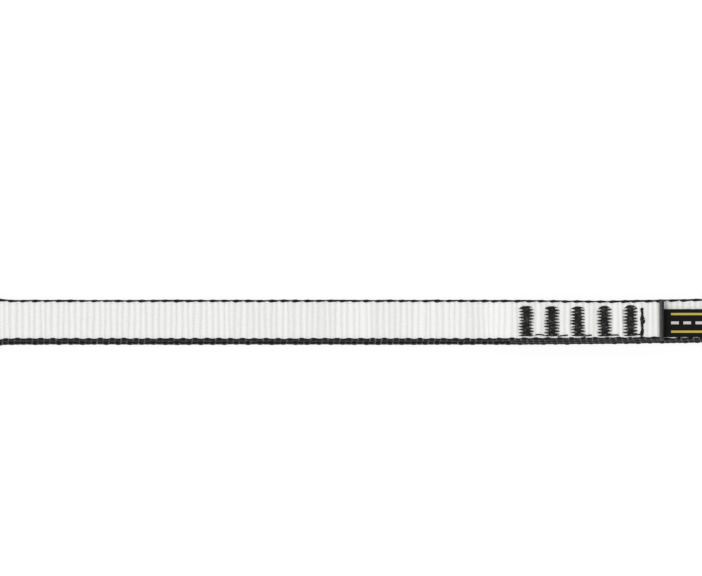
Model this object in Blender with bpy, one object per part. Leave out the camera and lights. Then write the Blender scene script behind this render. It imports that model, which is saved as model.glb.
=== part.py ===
"""A sewn sling of white polyethylene tape with black woven edges, laid flat as a long loop.

The tape goes round once and laps over its own end. Five zigzag bar tacks and a thin row of
stitches go down through both layers of the lap, and the row also holds a folded label.
Metres, +X along the sling, +Y across it, +Z up. The sling rests on the plane z = 0.
"""

import math
from typing import NamedTuple

import bmesh
import bpy

# The sling laid flat
SLING_LENGTH = 0.3000
BIGHT_INNER_RADIUS = 0.0032
BIGHT_EASE_RADIUS = 0.0110

# The woven tape
TAPE_WIDTH = 0.0110
TAPE_THICKNESS = 0.0022
SELVAGE_WIDTH = 0.00063
SELVAGE_ROUND = 0.0005
WEAVE_GAP = 0.00005
STRAND_GAP = 0.0003
SEAL_LENGTH = 0.0012
SEAL_ROUND = 0.0005

# The lap, measured from the outer end, which stops this far right of the sling's middle
OUTER_END_X = 0.0432
ROW_INSET = 0.0057
LAST_TACK_INSET = 0.00886
TACK_COUNT = 5
TACK_SPACING = 0.00684
INNER_END_INSET = 0.0040
RAMP_LENGTH = 0.0060
RAMP_CLEARANCE = 0.0004

# The sewing
THREAD = 0.00032
THREAD_GAP = 0.00015
TACK_WIDTH = 0.0041
TACK_PITCH = 0.00079
TACK_NEAR_MARGIN = 0.00153
TACK_FAR_MARGIN = 0.00215
ROW_WIDTH = 0.00076
ROW_PITCH = 0.00094
ROW_NEAR_INSET = 0.0001
ROW_FAR_INSET = 0.00125
CARRY_BOW = 0.00035
CARRY_START_SHARE = 0.6

# The label
LABEL_WIDTH = 0.0074
LABEL_LENGTH = 0.0240
LABEL_PLY = 0.00025
PLY_GAP = 0.00015
LABEL_GAP = 0.00015
LABEL_GRIP = 0.0009
LABEL_NEAR_MARGIN = 0.0008

# How far the strands lie off the straight line, sideways
LAP_SHIFT = -0.0005
LOWER_SHIFT = -0.00035
LOWER_SWAY = 0.0010
UPPER_SWAY = 0.0008
SWAY_END_X = 0.0975
SETTLE_LENGTH = 0.0120

# Spacing of the sections along the tape
COARSE_STEP = 0.0140
FINE_STEP = 0.0016
ARC_STEP = math.radians(13)
EDGE_STEPS = 4
FOLD_STEPS = 6

LABEL_THICKNESS = 2 * LABEL_PLY + PLY_GAP
LOWER_PLANE = TAPE_THICKNESS / 2
UPPER_PLANE = LOWER_PLANE + TAPE_THICKNESS + STRAND_GAP
INNER_PLANE = LOWER_PLANE + TAPE_THICKNESS + THREAD + 2 * THREAD_GAP
OUTER_PLANE = INNER_PLANE + TAPE_THICKNESS + STRAND_GAP
LABEL_RISE = LABEL_THICKNESS + 2 * LABEL_GAP - STRAND_GAP

BIGHT_RADIUS = BIGHT_INNER_RADIUS + TAPE_THICKNESS / 2
BIGHT_CENTRE_X = SLING_LENGTH / 2 - TAPE_THICKNESS / 2 - BIGHT_RADIUS
ROW_X = OUTER_END_X - ROW_INSET
LAST_TACK_X = OUTER_END_X - LAST_TACK_INSET
FIRST_TACK_X = LAST_TACK_X - (TACK_COUNT - 1) * TACK_SPACING
INNER_END_X = FIRST_TACK_X - INNER_END_INSET
RAMP_START_X = INNER_END_X - RAMP_CLEARANCE - RAMP_LENGTH
TAIL_START_X = ROW_X - LABEL_GRIP
HINGE_X = OUTER_END_X + LABEL_GAP + LABEL_THICKNESS / 2
LABEL_PLANE = INNER_PLANE + TAPE_THICKNESS / 2 + LABEL_GAP + LABEL_THICKNESS / 2
SETTLE_START_X = HINGE_X + LABEL_LENGTH + LABEL_GAP
CENTRE_Y = (max(LOWER_SHIFT + LOWER_SWAY, UPPER_SWAY) + min(LAP_SHIFT, LOWER_SHIFT)) / 2
LAP_NEAR_Y = LAP_SHIFT - TAPE_WIDTH / 2 - CENTRE_Y


class Station(NamedTuple):
    """A place on the tape's middle plane, and the way its outer face looks there."""

    x: float
    y: float
    z: float
    normal_x: float
    normal_z: float

    def at(self, across, out):
        """The point this far across the tape and out from its middle plane."""
        return self.x + out * self.normal_x, self.y + across, self.z + out * self.normal_z


def smooth(share):
    """An even S-curve from 0 to 1, flat at both ends."""
    share = min(max(share, 0), 1)
    return share * share * (3 - 2 * share)


def outer_plane(x):
    """Height of the strand that ends on top: it climbs the inner end, then the label."""
    over_end = smooth((x - RAMP_START_X) / RAMP_LENGTH)
    over_label = smooth((x - LAST_TACK_X) / (TAIL_START_X - LABEL_GAP - LAST_TACK_X))
    return UPPER_PLANE + over_end * (OUTER_PLANE - UPPER_PLANE) + over_label * LABEL_RISE


def inner_plane(x):
    """Height of the strand that ends inside the lap: it settles past the label."""
    settled = smooth((x - SETTLE_START_X) / SETTLE_LENGTH)
    return INNER_PLANE + settled * (UPPER_PLANE - INNER_PLANE)


def outer_sway(x):
    return LAP_SHIFT * smooth((x - RAMP_START_X) / RAMP_LENGTH)


def sway_share(x):
    return smooth((x - INNER_END_X) / (SWAY_END_X - INNER_END_X))


def inner_sway(x):
    return LAP_SHIFT + sway_share(x) * (UPPER_SWAY - LAP_SHIFT)


def lower_sway(x):
    return LOWER_SHIFT + LOWER_SWAY * sway_share(x)


def bight_sway(z, lower, upper):
    """How a bight leads from the lower strand's sideways place to the upper one's."""
    share = min(1, (z - LOWER_PLANE) / (UPPER_PLANE - LOWER_PLANE))
    return lower + share * (upper - lower)


def label_near_y():
    return LAP_NEAR_Y + LABEL_NEAR_MARGIN + (inner_sway(HINGE_X) - LAP_SHIFT)


def spread(start, end, step):
    """Even places from start to end, both included, at most a step apart."""
    count = max(1, math.ceil(abs(end - start) / step))
    return [start + (end - start) * i / count for i in range(count + 1)]


def bight_arcs():
    """Points (x, z) of the right-hand bight, from the upper strand round to the lower one.

    A small arc lifts the upper strand off the level, and a large one turns it round.
    """
    reach = BIGHT_RADIUS + BIGHT_EASE_RADIUS
    turn = math.acos((UPPER_PLANE + BIGHT_EASE_RADIUS - LOWER_PLANE - BIGHT_RADIUS) / reach)
    ease_x = BIGHT_CENTRE_X - reach * math.sin(turn)
    points = []
    for angle in spread(0, turn, ARC_STEP)[:-1]:
        rise = BIGHT_EASE_RADIUS * (1 - math.cos(angle))
        points.append((ease_x + BIGHT_EASE_RADIUS * math.sin(angle), UPPER_PLANE + rise))
    for angle in spread(math.pi / 2 + turn, -math.pi / 2, ARC_STEP):
        height = LOWER_PLANE + BIGHT_RADIUS * (1 + math.sin(angle))
        points.append((BIGHT_CENTRE_X + BIGHT_RADIUS * math.cos(angle), height))
    return points


def tape_line():
    """Points (x, y, z) of the tape's middle, from the outer end round to the inner end."""
    bight = bight_arcs()
    ease_x = bight[0][0]
    places = spread(OUTER_END_X - SEAL_LENGTH - WEAVE_GAP, RAMP_START_X, FINE_STEP)
    places += spread(RAMP_START_X, -ease_x, COARSE_STEP)[1:-1]
    line = [(x, outer_sway(x), outer_plane(x)) for x in places]
    line += [(-x, bight_sway(z, LOWER_SHIFT, 0), z) for x, z in bight]
    lower = spread(-BIGHT_CENTRE_X, BIGHT_CENTRE_X, COARSE_STEP)[1:-1]
    line += [(x, lower_sway(x), LOWER_PLANE) for x in lower]
    swayed = LOWER_SHIFT + LOWER_SWAY
    line += [(x, bight_sway(z, swayed, UPPER_SWAY), z) for x, z in reversed(bight)]
    places = spread(ease_x, SETTLE_START_X, FINE_STEP + SETTLE_LENGTH / EDGE_STEPS)[1:]
    places += spread(SETTLE_START_X, INNER_END_X + SEAL_LENGTH + WEAVE_GAP, 2 * FINE_STEP)[1:]
    return line + [(x, inner_sway(x), inner_plane(x)) for x in places]


def stations(line):
    """The line's points with their outward directions, square to the path seen from the side."""
    found = []
    for i, (x, y, z) in enumerate(line):
        before = line[max(i - 1, 0)]
        after = line[min(i + 1, len(line) - 1)]
        run_x, run_z = after[0] - before[0], after[2] - before[2]
        size = math.hypot(run_x, run_z)
        found.append(Station(x, y - CENTRE_Y, z, run_z / size, -run_x / size))
    return found


def ground_section():
    """The white part of the tape, between its selvages."""
    half = TAPE_WIDTH / 2 - SELVAGE_WIDTH - WEAVE_GAP
    deep = TAPE_THICKNESS / 2
    return [(-half, -deep), (half, -deep), (half, deep), (-half, deep)]


def edge_curve(side, thickness, half_width, depth):
    """The rounded outer edge, from its lower corner to its upper one."""
    curve = []
    for angle in spread(-math.pi / 2, math.pi / 2, math.pi / EDGE_STEPS):
        across = half_width - depth * (1 - math.cos(angle))
        curve.append((side * across, thickness / 2 * math.sin(angle)))
    return curve


def selvage_section(side):
    """One black edge: flat where it meets the ground, rounded outside."""
    inner = side * (TAPE_WIDTH / 2 - SELVAGE_WIDTH)
    curve = edge_curve(side, TAPE_THICKNESS, TAPE_WIDTH / 2, SELVAGE_ROUND)
    return [(inner, TAPE_THICKNESS / 2), (inner, -TAPE_THICKNESS / 2)] + curve


def seal_section(inset):
    """The whole tape's outline, drawn in on all sides where the melted end rounds off."""
    thickness = TAPE_THICKNESS - 2 * inset
    half = TAPE_WIDTH / 2 - inset
    near = edge_curve(-1, thickness, half, SELVAGE_ROUND)
    return edge_curve(1, thickness, half, SELVAGE_ROUND) + near[::-1]


def sweep_mesh(name, path, sections):
    """One closed solid through a section at each station."""
    mesh = bmesh.new()
    rings = []
    for station, section in zip(path, sections):
        rings.append([mesh.verts.new(station.at(across, out)) for across, out in section])
    for ring, following in zip(rings, rings[1:]):
        for i in range(len(ring)):
            mesh.faces.new((ring[i - 1], ring[i], following[i], following[i - 1]))
    mesh.faces.new(rings[0])
    mesh.faces.new(rings[-1])
    bmesh.ops.recalc_face_normals(mesh, faces=mesh.faces)
    data = bpy.data.meshes.new(name)
    mesh.to_mesh(data)
    mesh.free()
    return data


def material(name, color, roughness, metallic=0.0):
    made = bpy.data.materials.new(name)
    made.use_nodes = True
    shader = made.node_tree.nodes["Principled BSDF"]
    shader.inputs["Base Color"].default_value = (*color, 1.0)
    shader.inputs["Roughness"].default_value = roughness
    shader.inputs["Metallic"].default_value = metallic
    return made


def place(name, data, finish, location=(0, 0, 0)):
    made = bpy.data.objects.new(name, data)
    made.location = location
    if finish:
        data.materials.append(finish)
    bpy.context.scene.collection.objects.link(made)
    return made


def box_into(mesh, low, high):
    """Adds a box between two corners to the mesh."""
    corners = [
        mesh.verts.new((x, y, z))
        for x in (low[0], high[0])
        for y in (low[1], high[1])
        for z in (low[2], high[2])
    ]
    bmesh.ops.convex_hull(mesh, input=corners)


class SewnRow(NamedTuple):
    """A row of thread loops across the lap. Its width is between its legs' outsides."""

    name: str
    x: float
    width: float
    pitch: float
    near: float
    span: float

    def loops(self):
        return max(1, round(self.span / self.pitch + 1 / 2))

    def far(self):
        """The y of the last leg."""
        return self.near + (self.loops() - 1 / 2) * self.pitch

    def legs(self):
        """The x of the left and right legs."""
        reach = (self.width - THREAD) / 2
        return self.x - reach, self.x + reach


def sewn_rows():
    """The tacks, set in from the tape's edges, and the row, set in from the label's edges."""
    near = LAP_NEAR_Y + TACK_NEAR_MARGIN
    span = TAPE_WIDTH - TACK_NEAR_MARGIN - TACK_FAR_MARGIN
    rows = []
    for i in range(TACK_COUNT):
        x = FIRST_TACK_X + i * TACK_SPACING
        rows.append(SewnRow(f"bar_tack_{i + 1}", x, TACK_WIDTH, TACK_PITCH, near, span))
    near = label_near_y() + ROW_NEAR_INSET
    span = LABEL_WIDTH - ROW_NEAR_INSET - ROW_FAR_INSET
    rows.append(SewnRow("label_stitch_row", ROW_X, ROW_WIDTH, ROW_PITCH, near, span))
    return rows


def thread_top(x):
    """Height of a thread that lies on the lap's upper face."""
    return outer_plane(x) + TAPE_THICKNESS / 2 + THREAD_GAP + THREAD / 2


def row_line(row):
    """The thread's line: over the lap, down its right leg, back under it and up its left one."""
    left, right = row.legs()
    under = INNER_PLANE - TAPE_THICKNESS / 2 - THREAD_GAP - THREAD / 2
    over_left, over_right = thread_top(left), thread_top(right)
    corner = min(THREAD * 3 / 4, (right - left) / 3)
    line = []
    for i in range(row.loops()):
        y = row.near + i * row.pitch
        middle = y + row.pitch / 2
        line += [(left, y, under + corner), (left, y, over_left - corner)]
        line += [(left + corner, y, over_left), (right - corner, middle, over_right)]
        line += [(right, middle, over_right - corner), (right, middle, under + corner)]
        line += [(right - corner, middle, under), (left + corner, y + row.pitch, under)]
    return line[:-2]


def thread_object(name, line, finish):
    """A closed tube of thread along the line."""
    curve = bpy.data.curves.new(name, "CURVE")
    curve.dimensions = "3D"
    curve.bevel_depth = THREAD / 2
    curve.bevel_resolution = 1
    curve.use_fill_caps = True
    spline = curve.splines.new("POLY")
    spline.points.add(len(line) - 1)
    for point, place_on_line in zip(spline.points, line):
        point.co = (*place_on_line, 1.0)
    return place(name, curve, finish)


def carry_line(start, end):
    """A loose thread on the lap, bowed towards the near edge."""
    y = LAP_NEAR_Y + TACK_NEAR_MARGIN - THREAD - THREAD_GAP
    line = []
    for x in spread(start, end, (end - start) / FOLD_STEPS):
        bow = math.sin(math.pi * (x - start) / (end - start))
        line.append((x, y - CARRY_BOW * bow, thread_top(x)))
    return line


def make_threads(finish):
    """The tacks, the label's row, and the thread carried from each to the next."""
    rows = sewn_rows()
    for row in rows:
        thread_object(row.name, row_line(row), finish)
    for i, (row, following) in enumerate(zip(rows, rows[1:])):
        start = row.x + CARRY_START_SHARE * row.width / 2
        end = following.x - following.width / 2 - THREAD / 2 - THREAD_GAP
        thread_object(f"carry_thread_{i + 1}", carry_line(start, end), finish)


def make_needle_slots():
    """The cutter for the slots that the rows' legs go down through."""
    mesh = bmesh.new()
    reach = THREAD / 2 + THREAD_GAP
    bottom = INNER_PLANE - TAPE_THICKNESS / 2 - THREAD_GAP
    for row in sewn_rows():
        legs = row.legs()
        if legs[1] - legs[0] > 2 * reach:
            runs = [(leg - reach, leg + reach) for leg in legs]
        else:
            runs = [(legs[0] - reach, legs[1] + reach)]
        for left, right in runs:
            top = thread_top(right) + THREAD
            box_into(mesh, (left, row.near - reach, bottom), (right, row.far() + reach, top))
    data = bpy.data.meshes.new("needle_slots")
    mesh.to_mesh(data)
    mesh.free()
    cutter = place("needle_slots", data, None)
    cutter.hide_render = True
    cutter.display_type = "WIRE"
    return cutter


def cut(target, cutter):
    modifier = target.modifiers.new("needle_slots", "BOOLEAN")
    modifier.operation = "DIFFERENCE"
    modifier.solver = "EXACT"
    modifier.object = cutter


def make_tape(white, black, slots):
    """The white ground with its slots, and the two black selvages."""
    path = stations(tape_line())
    data = sweep_mesh("webbing_ground", path, [ground_section()] * len(path))
    cut(place("webbing_ground", data, white), slots)
    for name, side in (("selvage_near", -1), ("selvage_far", 1)):
        data = sweep_mesh(name, path, [selvage_section(side)] * len(path))
        data.shade_smooth()
        data.set_sharp_from_angle(angle=math.radians(50))
        place(name, data, black)


def make_sealed_end(name, end_x, way, plane, sway, finish):
    """A melted cut end, with its last edge rounded off. The way is 1 where it faces +X."""
    path, sections = [], []
    for angle in spread(0, math.pi / 2, math.pi / 2 / EDGE_STEPS):
        x = end_x - way * SEAL_ROUND * (1 - math.sin(angle))
        path.append(Station(x, sway(x) - CENTRE_Y, plane(x), 0, 1))
        sections.append(seal_section(SEAL_ROUND * (1 - math.cos(angle))))
    start = end_x - way * SEAL_LENGTH
    path.insert(0, Station(start, sway(start) - CENTRE_Y, plane(start), 0, 1))
    sections.insert(0, seal_section(0))
    place(name, sweep_mesh(name, path, sections), finish)


def make_label_tail(finish, slots):
    """The label's two cut ends, side by side between the layers of the lap."""
    mesh = bmesh.new()
    near = label_near_y()
    half = LABEL_THICKNESS / 2
    low = (TAIL_START_X, near, LABEL_PLANE - half)
    box_into(mesh, low, (OUTER_END_X, near + LABEL_WIDTH, LABEL_PLANE + half))
    data = bpy.data.meshes.new("label_tail")
    mesh.to_mesh(data)
    mesh.free()
    cut(place("label_tail", data, finish), slots)


def label_outline():
    """The folded label from the side, as (x, z) from the hinge: two plies and their fold."""
    outer, inner = LABEL_THICKNESS / 2, PLY_GAP / 2
    fold_x = LABEL_LENGTH - outer
    outline = [(0, -outer)]
    for angle in spread(-math.pi / 2, math.pi / 2, math.pi / FOLD_STEPS):
        outline.append((fold_x + outer * math.cos(angle), outer * math.sin(angle)))
    outline += [(0, outer), (0, inner)]
    for angle in spread(math.pi / 2, -math.pi / 2, math.pi / FOLD_STEPS):
        outline.append((fold_x + inner * math.cos(angle), inner * math.sin(angle)))
    return outline + [(0, -inner)]


def make_label_flap(finish):
    """The label's free part, with its origin on the line that it lifts about."""
    mesh = bmesh.new()
    outline = [mesh.verts.new((x, -LABEL_WIDTH / 2, z)) for x, z in label_outline()]
    side = mesh.faces.new(outline)
    drawn = bmesh.ops.extrude_face_region(mesh, geom=[side])
    moved = [item for item in drawn["geom"] if isinstance(item, bmesh.types.BMVert)]
    bmesh.ops.translate(mesh, verts=moved, vec=(0, LABEL_WIDTH, 0))
    bmesh.ops.recalc_face_normals(mesh, faces=mesh.faces)
    data = bpy.data.meshes.new("label_flap")
    mesh.to_mesh(data)
    mesh.free()
    place("label_flap", data, finish, (HINGE_X, label_near_y() + LABEL_WIDTH / 2, LABEL_PLANE))


def main():
    for old in list(bpy.data.objects):
        bpy.data.objects.remove(old)
    white = material("white_polyethylene", (0.84, 0.84, 0.82), 0.55)
    black = material("black_polyamide", (0.035, 0.035, 0.036), 0.6)
    thread = material("black_thread", (0.03, 0.03, 0.03), 0.5)
    melted = material("melted_end", (0.09, 0.09, 0.09), 0.35)
    label = material("woven_label", (0.012, 0.012, 0.011), 0.75)
    slots = make_needle_slots()
    make_tape(white, black, slots)
    make_sealed_end("sealed_end_outer", OUTER_END_X, 1, outer_plane, outer_sway, melted)
    make_sealed_end("sealed_end_inner", INNER_END_X, -1, inner_plane, inner_sway, melted)
    make_threads(thread)
    make_label_tail(label, slots)
    make_label_flap(label)


main()
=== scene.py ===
"""The finished look of a sewn sling of white polyethylene tape with black woven edges.

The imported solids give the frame. Each sub-assembly below is a class that holds its sizes,
builds its meshes and dresses them: the woven tape, its two black edges, its melted ends, the
bar tacks, the loose threads, the label's stitch row and the label. Metres throughout, with +X
along the sling, +Y across the tape and +Z up.
"""

import logging
import math
from abc import ABC, abstractmethod
from dataclasses import dataclass, field
from enum import Enum
from functools import cached_property
from typing import ClassVar, NamedTuple, Sequence

import bpy
import numpy as np
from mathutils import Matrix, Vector, noise

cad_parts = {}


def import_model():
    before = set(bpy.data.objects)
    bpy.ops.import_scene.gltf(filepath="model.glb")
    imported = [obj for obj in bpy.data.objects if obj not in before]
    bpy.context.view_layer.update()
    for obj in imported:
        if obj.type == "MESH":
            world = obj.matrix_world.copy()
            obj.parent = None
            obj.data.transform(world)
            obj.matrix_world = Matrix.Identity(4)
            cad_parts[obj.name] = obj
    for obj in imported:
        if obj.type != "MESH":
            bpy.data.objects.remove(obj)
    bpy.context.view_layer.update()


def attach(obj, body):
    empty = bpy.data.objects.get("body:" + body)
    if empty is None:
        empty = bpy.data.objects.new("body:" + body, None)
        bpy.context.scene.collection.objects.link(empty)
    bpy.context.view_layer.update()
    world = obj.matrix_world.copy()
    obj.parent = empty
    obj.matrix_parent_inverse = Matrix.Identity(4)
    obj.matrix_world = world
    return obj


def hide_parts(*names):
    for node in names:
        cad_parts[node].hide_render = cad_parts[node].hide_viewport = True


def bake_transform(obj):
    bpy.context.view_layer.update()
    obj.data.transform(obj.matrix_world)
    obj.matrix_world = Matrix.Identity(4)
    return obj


LOG = logging.getLogger("sling")

SLING_BODY = "sling"

MM = 0.001
MERGE_DISTANCE = 1e-6
SMOOTH_ANGLE = math.radians(55)
# A direction that no thread starts along
ASKEW = (0.31, 0.22, 0.93)


class Side(Enum):
    """The two edges of the tape: the value is the way that the edge faces along Y."""

    NEAR = -1
    FAR = 1


@dataclass(frozen=True)
class SlingSizes:
    """The driving sizes of the solids, in metres."""

    sling_length: float = 0.3000
    bight_inner_radius: float = 0.0032
    ease_radius: float = 0.0110
    width: float = 0.0110
    thickness: float = 0.0022
    strand_gap: float = 0.0003
    seal_length: float = 0.0012
    outer_end_x: float = 0.0432
    row_inset: float = 0.0057
    last_tack_inset: float = 0.00886
    tack_count: int = 5
    tack_spacing: float = 0.00684
    tack_drifts: tuple = (0.0, -0.00018, -0.00010, 0.0, 0.0)
    tack_reaches: tuple = (-0.00002, -0.00009, -0.00012, 0.00003, 0.00023)
    tack_bows: tuple = (0.00015, 0.00020, 0.00037, 0.00059, 0.00070)
    inner_end_inset: float = 0.0040
    ramp_length: float = 0.0060
    ramp_clearance: float = 0.0004
    thread: float = 0.00032
    thread_gap: float = 0.00015
    label_width: float = 0.0074
    label_length: float = 0.0240
    label_ply: float = 0.00025
    ply_gap: float = 0.00015
    label_gap: float = 0.00015
    label_grip: float = 0.0009
    label_near_margin: float = 0.0008
    lap_shift: float = -0.0005
    lower_shift: float = -0.00035
    lower_sway: float = 0.0010
    upper_sway: float = 0.0008
    sway_end_x: float = 0.0975
    settle_length: float = 0.0120
    sewn_narrowing: float = 0.00055
    narrowing_start_x: float = -0.0105
    narrowing_end_x: float = 0.0345
    bight_widening: float = 0.00045
    widening_start_x: float = -0.1280
    widening_run: float = 0.0042

    @property
    def label_thickness(self) -> float:
        """Both plies of the folded label and the gap between them."""
        return 2 * self.label_ply + self.ply_gap

    @property
    def lower_plane(self) -> float:
        """Middle height of the strand that lies on the floor."""
        return self.thickness / 2

    @property
    def upper_plane(self) -> float:
        """Middle height of the strand on top of it."""
        return self.lower_plane + self.thickness + self.strand_gap

    @property
    def inner_plane(self) -> float:
        """Middle height of the lap's lower layer, over the tacks' undersides."""
        return self.lower_plane + self.thickness + self.thread + 2 * self.thread_gap

    @property
    def outer_plane(self) -> float:
        """Middle height of the lap's upper layer."""
        return self.inner_plane + self.thickness + self.strand_gap

    @property
    def label_rise(self) -> float:
        """How far the label between the layers lifts the upper one."""
        return self.label_thickness + 2 * self.label_gap - self.strand_gap

    @property
    def bight_radius(self) -> float:
        """Radius of the tape's middle round a bight."""
        return self.bight_inner_radius + self.thickness / 2

    @property
    def bight_centre_x(self) -> float:
        """How far the bights' centres lie from the sling's middle."""
        return self.sling_length / 2 - self.thickness / 2 - self.bight_radius

    @property
    def row_x(self) -> float:
        """Place of the label's stitch row."""
        return self.outer_end_x - self.row_inset

    @property
    def last_tack_x(self) -> float:
        """Middle of the tack nearest to the outer end."""
        return self.outer_end_x - self.last_tack_inset

    @property
    def first_tack_x(self) -> float:
        """Middle of the tack farthest from the outer end."""
        return self.last_tack_x - (self.tack_count - 1) * self.tack_spacing

    @property
    def tack_places(self) -> tuple[float, ...]:
        """Each tack's own place along the sling."""
        return tuple(
            self.first_tack_x + i * self.tack_spacing + drift for i, drift in enumerate(self.tack_drifts)
        )

    @property
    def inner_end_x(self) -> float:
        """Place of the melted end inside the lap."""
        return self.first_tack_x - self.inner_end_inset

    @property
    def ramp_start_x(self) -> float:
        """Where the upper strand starts to climb over the inner end."""
        return self.inner_end_x - self.ramp_clearance - self.ramp_length

    @property
    def tail_start_x(self) -> float:
        """Where the label's hidden ends stop inside the lap."""
        return self.row_x - self.label_grip

    @property
    def hinge_x(self) -> float:
        """Where the label comes out of the lap."""
        return self.outer_end_x + self.label_gap + self.label_thickness / 2

    @property
    def label_plane(self) -> float:
        """Middle height of the folded label."""
        top = self.inner_plane + self.thickness / 2
        return top + self.label_gap + self.label_thickness / 2

    @property
    def settle_start_x(self) -> float:
        """Where the lap's lower layer starts to settle, past the label."""
        return self.hinge_x + self.label_length + self.label_gap

    @property
    def centre_y(self) -> float:
        """Middle of the strands' sideways spread, which the frame centres."""
        far = max(self.lower_shift + self.lower_sway, self.upper_sway)
        return (far + min(self.lap_shift, self.lower_shift)) / 2

    @property
    def lap_near_y(self) -> float:
        """The lap's near edge."""
        return self.lap_shift - self.width / 2 - self.centre_y


def smooth(share: np.ndarray | float) -> np.ndarray:
    """An even S-curve from 0 to 1, flat at both ends.

    Args:
        share: Place along the curve; what lies outside 0 to 1 is held at the ends.

    Returns:
        The curve's height at each place.
    """
    held = np.clip(share, 0, 1)
    return held * held * (3 - 2 * held)


class TapeRoute:
    """The line that the tape's middle follows, from its outer end round to its inner end."""

    STEP = 0.00025
    ARC_STEP = math.radians(2)

    def __init__(self, sizes: SlingSizes) -> None:
        """Lays the route out.

        Args:
            sizes: The driving sizes.
        """
        self.sizes = sizes
        legs = [self._outer_leg(), self._left_bight(), self._lower_leg(), self._right_bight()]
        legs.append(self._inner_leg())
        line = np.concatenate(legs)
        steps = np.hypot(np.diff(line[:, 0]), np.diff(line[:, 2]))
        self.along = np.concatenate([[0.0], np.cumsum(steps)])
        self.line = line
        self.length = float(self.along[-1])
        self.outer_leg_points = len(legs[0])
        run = np.gradient(line[:, [0, 2]], self.along, axis=0)
        run /= np.linalg.norm(run, axis=1)[:, None]
        self.normal = np.stack([run[:, 1], -run[:, 0]], axis=1)
        pulled = smooth((line[:, 0] - sizes.narrowing_start_x) / self._narrowing_run())
        pulled[self.outer_leg_points :] = 0
        left = np.arange(len(line)) < self.outer_leg_points + len(legs[1]) + len(legs[2]) // 2
        opened = smooth((sizes.widening_start_x - line[:, 0]) / sizes.widening_run) * left
        change = opened * sizes.bight_widening - pulled * sizes.sewn_narrowing
        self.spread = 1 + change / sizes.width

    def _narrowing_run(self) -> float:
        """Length over which the outer layer draws in."""
        return self.sizes.narrowing_end_x - self.sizes.narrowing_start_x

    def sway_share(self, x: np.ndarray) -> np.ndarray:
        """Share of the skew right of the lap, at each x."""
        start = self.sizes.inner_end_x
        return smooth((x - start) / (self.sizes.sway_end_x - start))

    def inner_sway(self, x: np.ndarray) -> np.ndarray:
        """How far the lap's lower layer lies to the side, at each x."""
        shift = self.sizes.lap_shift
        return shift + self.sway_share(x) * (self.sizes.upper_sway - shift)

    def outer_height(self, x: np.ndarray) -> np.ndarray:
        """Middle height of the strand that ends on top.

        Args:
            x: The places along the sling.

        Returns:
            The height at each place.
        """
        z = self.sizes
        over_end = smooth((x - z.ramp_start_x) / z.ramp_length)
        label_edge = z.tail_start_x - z.label_gap
        over_label = smooth((x - z.last_tack_x) / (label_edge - z.last_tack_x))
        return z.upper_plane + over_end * (z.outer_plane - z.upper_plane) + over_label * z.label_rise

    def _places(self, start: float, end: float) -> np.ndarray:
        """Even places from start to end, a route step apart."""
        return np.linspace(start, end, max(2, math.ceil(abs(end - start) / self.STEP)))

    def _rows(self, x: np.ndarray, y: np.ndarray, z: np.ndarray) -> np.ndarray:
        """The points as rows, with y centred as the frame is."""
        return np.stack([x, np.broadcast_to(y, x.shape) - self.sizes.centre_y, z], axis=1)

    def _climbed(self, height: np.ndarray) -> np.ndarray:
        """Share of the way from the lower strand's height to the upper one's."""
        low, high = self.sizes.lower_plane, self.sizes.upper_plane
        return np.clip((height - low) / (high - low), 0, 1)

    def _bight(self) -> tuple[np.ndarray, np.ndarray]:
        """The right-hand bight, from the upper strand to the lower one.

        Returns:
            The x and the z of its points.
        """
        z = self.sizes
        reach = z.bight_radius + z.ease_radius
        drop = z.upper_plane + z.ease_radius - z.lower_plane - z.bight_radius
        turn = math.acos(drop / reach)
        ease = np.arange(0, turn, self.ARC_STEP)
        ease_x = z.bight_centre_x - reach * math.sin(turn) + z.ease_radius * np.sin(ease)
        ease_z = z.upper_plane + z.ease_radius * (1 - np.cos(ease))
        start = math.pi / 2 + turn
        count = math.ceil((start + math.pi / 2) / self.ARC_STEP)
        round_it = np.linspace(start, -math.pi / 2, count)
        round_x = z.bight_centre_x + z.bight_radius * np.cos(round_it)
        round_z = z.lower_plane + z.bight_radius * (1 + np.sin(round_it))
        return np.concatenate([ease_x, round_x]), np.concatenate([ease_z, round_z])

    def _outer_leg(self) -> np.ndarray:
        """From the outer end to the left bight.

        Returns:
            The points.
        """
        bight_x, _ = self._bight()
        x = self._places(self.sizes.outer_end_x, -bight_x[0])[:-1]
        shift = self.sizes.lap_shift * smooth((x - self.sizes.ramp_start_x) / self.sizes.ramp_length)
        return self._rows(x, shift, self.outer_height(x))

    def _left_bight(self) -> np.ndarray:
        """Round the left bight."""
        x, z = self._bight()
        return self._rows(-x, self.sizes.lower_shift * (1 - self._climbed(z)), z)

    def _lower_leg(self) -> np.ndarray:
        """Along the floor.

        Returns:
            The points.
        """
        reach = self.sizes.bight_centre_x
        x = self._places(-reach, reach)[1:-1]
        plane = np.full(x.shape, self.sizes.lower_plane)
        sway = self.sizes.lower_shift + self.sizes.lower_sway * self.sway_share(x)
        return self._rows(x, sway, plane)

    def _right_bight(self) -> np.ndarray:
        """Round the right bight.

        Returns:
            The points.
        """
        x, z = (part[::-1] for part in self._bight())
        lower = self.sizes.lower_shift + self.sizes.lower_sway
        return self._rows(x, lower + self._climbed(z) * (self.sizes.upper_sway - lower), z)

    def _inner_leg(self) -> np.ndarray:
        """From the right bight into the lap.

        Returns:
            The points.
        """
        z = self.sizes
        bight_x, _ = self._bight()
        x = self._places(bight_x[0], z.inner_end_x)[1:]
        settled = smooth((x - z.settle_start_x) / z.settle_length)
        height = z.inner_plane + settled * (z.upper_plane - z.inner_plane)
        return self._rows(x, self.inner_sway(x), height)

    def outer_along(self, x: float) -> float:
        """Distance from the outer end to a place on the outer leg.

        Args:
            x: The place along the sling.

        Returns:
            The distance along the tape.
        """
        count = self.outer_leg_points
        return float(np.interp(-x, -self.line[:count, 0], self.along[:count]))

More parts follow.
